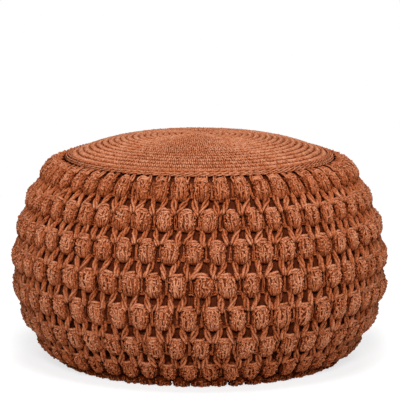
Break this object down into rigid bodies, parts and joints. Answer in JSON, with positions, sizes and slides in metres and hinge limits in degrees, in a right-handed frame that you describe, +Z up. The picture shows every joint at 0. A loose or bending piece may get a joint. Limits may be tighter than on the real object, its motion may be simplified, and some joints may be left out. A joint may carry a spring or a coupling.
{
  "type": "crochet pouf",
  "caption": "Round stuffed floor pouf in thick crocheted yarn: tight flat-worked crowned top, bulging side of raised puff stitches with open gaps over an inner casing, flat base.",
  "frame": {"origin": "on the floor under the middle of the pouf", "axes": "+Z up along the round's upright axis, -Y towards the front seen in the picture"},
  "size_m": [0.5518, 0.5518, 0.328],
  "materials": {
    "terracotta_yarn": "matte crocheted cotton yarn",
    "casing_cloth": "plain woven lining cloth"
  },
  "bodies": {
    "root": {"top_round": "terracotta_yarn", "bobble_wall": "terracotta_yarn", "base_round": "terracotta_yarn", "casing": "casing_cloth"}
  },
  "joints": []
}
